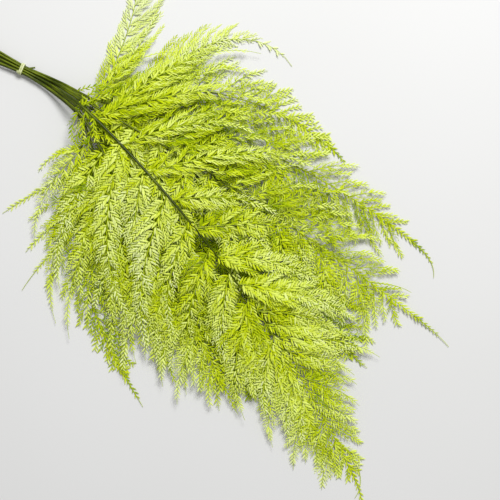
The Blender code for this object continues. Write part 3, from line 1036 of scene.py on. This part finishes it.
all_strands = [frond_strands(layer) for layer in range(len(FRONDS))]
print("strands in each frond:", [len(strands) for strands in all_strands])

# %% [markdown]
# ## Grow the ten fronds
#
# The strands of a frond are joined into one mesh of edges, which gets the node tree, and the
# result is copied to a plain mesh. Its points are then settled: foliage that would dip through
# the surface is pressed flat on it, and the highest tips are held down to the CAD model's height.
# The ends of the tubes get their own place in the UV map, because a cut shows a pale inside.

# %% The skeleton, and its plain copy
def make_skeleton(name, strands):
    mesh = bpy.data.meshes.new(name)
    points = np.vstack([strand.points for strand in strands])
    points[:, :2] += SHIFT
    edges = []
    first = 0
    for strand in strands:
        last = first + len(strand.points) - 1
        edges += [(point, point + 1) for point in range(first, last)]
        first = last + 1
    mesh.from_pydata(points.tolist(), edges, [])
    for label in Strand._fields[1:]:
        set_attribute(mesh, label, np.concatenate([getattr(strand, label) for strand in strands]))
    return add_object(name, mesh)


def add_tree(obj, tree, values):
    modifier = obj.modifiers.new(tree.name, "NODES")
    modifier.node_group = tree
    for item in tree.interface.items_tree:
        if item.name in values:
            modifier[item.identifier] = values[item.name]


def plain_copy(obj, name):
    """A plain mesh object from the evaluated result of an object's modifiers."""
    graph = bpy.context.evaluated_depsgraph_get()
    mesh = bpy.data.meshes.new_from_object(
        obj.evaluated_get(graph), preserve_all_data_layers=True, depsgraph=graph)
    mesh.name = name
    bpy.data.objects.remove(obj)
    return add_object(name, mesh)


print("a skeleton's attributes:", Strand._fields[1:])

# %% Cut faces and heights
SURFACE_HEIGHT = 0.2 * MM
TOP_HEIGHT = cad_high.z + 0.9 * MM
EASE = 2.0 * MM
MOST_LEAF_SIDES = 4


def mark_cut_faces(mesh):
    """Give the end caps of the tubes their own small place in the UV map."""
    uv = mesh.uv_layers[UV_NAME].data
    for face in mesh.polygons:
        if face.loop_total > MOST_LEAF_SIDES:
            for step, loop in enumerate(face.loop_indices):
                angle = 2 * math.pi * step / face.loop_total
                uv[loop].uv = (CUT_U * (0.5 + 0.4 * math.cos(angle)), 0.5 + 0.4 * math.sin(angle))


def eased(excess):
    """What is left of the last EASE before a limit, for points that would pass it."""
    return EASE * np.exp(-np.maximum(excess, 0) / EASE)


def settle(mesh):
    """Press the points between the surface and the top of the pile, without a crease."""
    points = np.empty(len(mesh.vertices) * 3)
    mesh.vertices.foreach_get("co", points)
    points = points.reshape(-1, 3)
    height = points[:, 2]
    low = SURFACE_HEIGHT + EASE
    high = TOP_HEIGHT - EASE
    height = np.where(height < low, SURFACE_HEIGHT + eased(low - height), height)
    height = np.where(height > high, TOP_HEIGHT - eased(height - high), height)
    points[:, 2] = height
    mesh.vertices.foreach_set("co", points.ravel())


print("top of the foliage:", round(TOP_HEIGHT / MM, 2), "mm")

# %% Grow them
total = 0
for layer, strands in enumerate(all_strands):
    node = f"frond_{layer + 1:02d}"
    skeleton = make_skeleton(f"skeleton_{layer + 1:02d}", strands)
    add_tree(skeleton, frond_tree, {"Seed": 20 * layer})
    piece = plain_copy(skeleton, f"feathery_{node}")
    mark_cut_faces(piece.data)
    settle(piece.data)
    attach(piece, "root")
    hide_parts(node)
    triangles = sum(face.loop_total - 2 for face in piece.data.polygons)
    total += triangles
    print(piece.name, triangles, "triangles")
print("triangles in all fronds:", total)
bpy.data.objects.remove(segment)

# %% [markdown]
# ## The tie
#
# A pale band is wound about two and a half times round the stems and tucked in at its ends. A
# curve with a flat profile would twist on the way round, so the band is swept in Python, where
# its face is kept turned outwards.

# %% Wind the band
BAND_WIDTH = 1.4 * MM
BAND_THICKNESS = 0.55 * MM
BAND_TURNS = 2.55
BAND_PITCH = 1.45 * MM
BAND_TUCK = 0.12
BAND_START = 0.3
BAND_STEPS = 220
TIE_CORNER = 2.0 * MM
BUNDLE_HALF = (1.5 * SLOT_PITCH + STEM_RADIUS + TIE_GAP, ROW_PITCH + STEM_RADIUS + TIE_GAP)
OUTLINE_STEPS = 48
SECTION = (
    (-0.5, -0.25), (-0.4, -0.5), (0.4, -0.5), (0.5, -0.25),
    (0.47, 0.25), (0.3, 0.5), (-0.3, 0.5), (-0.47, 0.25))


def rounded_outline(half_width, half_height, corner):
    """Points of a rectangle with round corners, with the outward direction at each."""
    angle = np.linspace(0, 2 * math.pi, OUTLINE_STEPS, endpoint=False) + math.pi / OUTLINE_STEPS
    outward = np.column_stack([np.cos(angle), np.sin(angle)])
    centre = np.sign(outward) * np.array([half_width - corner, half_height - corner])
    return centre + corner * outward, outward


def wind_band():
    """Rings of points along the band, one section at each step of its way."""
    offset = TIE_WALL - BAND_THICKNESS / 2
    outline, outward = rounded_outline(
        BUNDLE_HALF[0] + offset, BUNDLE_HALF[1] + offset, TIE_CORNER + offset)
    closed = np.vstack([outline, outline[:1]])
    facing_out = np.vstack([outward, outward[:1]])
    length = np.concatenate([[0], np.cumsum(np.linalg.norm(np.diff(closed, axis=0), axis=1))])
    turns = np.linspace(0, BAND_TURNS, BAND_STEPS)
    s = (turns * length[-1] + BAND_START * length[-1]) % length[-1]
    path = np.column_stack([np.interp(s, length, closed[:, axis]) for axis in (0, 1)])
    out = np.column_stack([np.interp(s, length, facing_out[:, axis]) for axis in (0, 1)])
    out /= np.linalg.norm(out, axis=1)[:, None]
    tuck = smooth(1 - turns / BAND_TUCK) + smooth(1 - (BAND_TURNS - turns) / BAND_TUCK)
    path -= out * (tuck * 0.5 * BAND_THICKNESS)[:, None]
    shift = (turns - BAND_TURNS / 2) * BAND_PITCH
    across = np.array([*along(BUNDLE_HEADING + 90, 1.0), 0])
    stems = np.array([*along(BUNDLE_HEADING, 1.0), 0])
    up = np.array([0, 0, 1])
    centre = np.array([*(SHIFT + TIE_CENTRE), BUNDLE_HALF[1] + TIE_WALL])
    middle = centre + path[:, :1] * across + path[:, 1:] * up + shift[:, None] * stems
    normal = out[:, :1] * across + out[:, 1:] * up
    rings = [middle + stems * (BAND_WIDTH * a) + normal * (BAND_THICKNESS * b) for a, b in SECTION]
    return np.stack(rings, axis=1)


rings = wind_band()
print("sections along the band:", len(rings))

# %% Close it into a solid
def make_band(rings, name):
    steps, sides = rings.shape[:2]
    faces = []
    for step in range(steps - 1):
        for side in range(sides):
            a = step * sides + side
            b = step * sides + (side + 1) % sides
            faces.append((a, b, b + sides, a + sides))
    faces.append(tuple(reversed(range(sides))))
    faces.append(tuple(range((steps - 1) * sides, steps * sides)))
    mesh = bpy.data.meshes.new(name)
    mesh.from_pydata(rings.reshape(-1, 3).tolist(), [], faces)
    mesh.polygons.foreach_set("use_smooth", [True] * (len(faces) - 2) + [False] * 2)
    return add_object(name, mesh)


band = make_band(rings, "wound_tie")
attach(band, "root")
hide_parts("tie")
print("tie faces:", len(band.data.polygons))

# %% [markdown]
# ## The tie's finish
#
# The band is a soft, slightly waxy cream green with small stains and a fine grain. Noise on
# object coordinates gives both: a coarse one the colour, and a fine one the roughness and bump.

# %% Make the band material
BAND_STOPS = ((0.35, (0.42, 0.46, 0.17)), (0.6, (0.66, 0.7, 0.38)))
STAIN_SCALE = 600.0
GRAIN_SCALE = 4200.0


def object_noise(nodes, scale, detail):
    place = nodes.add("ShaderNodeTexCoord")["Object"]
    noise = {"Vector": place, "Scale": scale, "Detail": detail}
    return nodes.add("ShaderNodeTexNoise", noise)["Fac"]


def make_band_material():
    material, nodes = new_material("waxy_cream_band")
    colour = ramp(nodes, BAND_STOPS, object_noise(nodes, STAIN_SCALE, 4.0))
    grain = object_noise(nodes, GRAIN_SCALE, 2.0)
    bump = nodes.add("ShaderNodeBump", {"Strength": 0.4, "Distance": 0.1 * MM, "Height": grain})
    surface = nodes.add("ShaderNodeBsdfPrincipled", {
        "Base Color": colour, "Roughness": 0.4 + grain * 0.2, "Normal": bump})
    nodes.add("ShaderNodeOutputMaterial", {"Surface": surface})
    return material


band.data.materials.append(make_band_material())
print("band material nodes:", len(band.data.materials[0].node_tree.nodes))

# %% [markdown]
# ## Surface, light and camera
#
# The bunch lies on a plain, very pale surface. One soft light stands past the view's top edge, a
# little to the right, so the shadows fall to the lower left, and an even white world fills them.
# The camera looks straight down, and the bunch lies aslant in its view.

# %% Lay the surface
FLOOR_HALF = 4.0
FLOOR_STOPS = ((0.3, (0.66, 0.66, 0.65)), (0.7, (0.68, 0.68, 0.675)))


def make_floor():
    mesh = bpy.data.meshes.new("white_surface")
    half = FLOOR_HALF
    mesh.from_pydata([(-half, -half, 0), (half, -half, 0), (half, half, 0), (-half, half, 0)],
                     [], [(0, 1, 2, 3)])
    material, nodes = new_material("white_board")
    colour = ramp(nodes, FLOOR_STOPS, object_noise(nodes, 3.0, 2.0))
    surface = nodes.add("ShaderNodeBsdfPrincipled", {"Base Color": colour, "Roughness": 0.6})
    nodes.add("ShaderNodeOutputMaterial", {"Surface": surface})
    mesh.materials.append(material)
    return add_object("white_surface", mesh)


make_floor()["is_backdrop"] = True
print("surface:", 2 * FLOOR_HALF, "m wide")

# %% Light it
LIGHT_PLACE = (-0.47, 0.88, 1.5)
LIGHT_TARGET = (0.05, 0.0, 0.0)
LIGHT_SIZE = 0.6
LIGHT_POWER = 32.5
WORLD_STRENGTH = 0.4

light_data = bpy.data.lights.new("window_light", "AREA")
light_data.shape = "SQUARE"
light_data.size = LIGHT_SIZE
light_data.energy = LIGHT_POWER
light = add_object("window_light", light_data)
light.location = LIGHT_PLACE
light.rotation_euler = (Vector(LIGHT_TARGET) - Vector(LIGHT_PLACE)).to_track_quat("-Z", "Y").to_euler()
world = bpy.data.worlds.new("even_white")
world.use_nodes = True
background = world.node_tree.nodes["Background"]
background.inputs["Color"].default_value = (1.0, 1.0, 1.0, 1.0)
background.inputs["Strength"].default_value = WORLD_STRENGTH
bpy.context.scene.world = world
bpy.context.scene.view_settings.view_transform = "Standard"
print("light:", light_data.energy, "W")

# %% Set the camera
CAMERA_HEIGHT = 1.2
VIEW_WIDTH = 0.4
VIEW_TURN = math.radians(47.83)
VIEW_CENTRE = SHIFT + (0.1692, 0.0140)

camera_data = bpy.data.cameras.new("overhead_camera")
camera_data.sensor_fit = "HORIZONTAL"
camera_data.angle = 2 * math.atan(VIEW_WIDTH / 2 / CAMERA_HEIGHT)
camera = add_object("overhead_camera", camera_data)
camera.location = (*VIEW_CENTRE, CAMERA_HEIGHT)
camera.rotation_euler = (0.0, 0.0, VIEW_TURN)
bpy.context.scene.camera = camera
print("camera field:", round(math.degrees(camera_data.angle), 1), "degrees")

# %% Keep both boxes and finish
low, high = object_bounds()
sizes = {"cad": [list(cad_low), list(cad_high)], "visual": [list(low), list(high)]}
print("visual box in mm:", [[round(side / MM, 1) for side in corner] for corner in (low, high)])
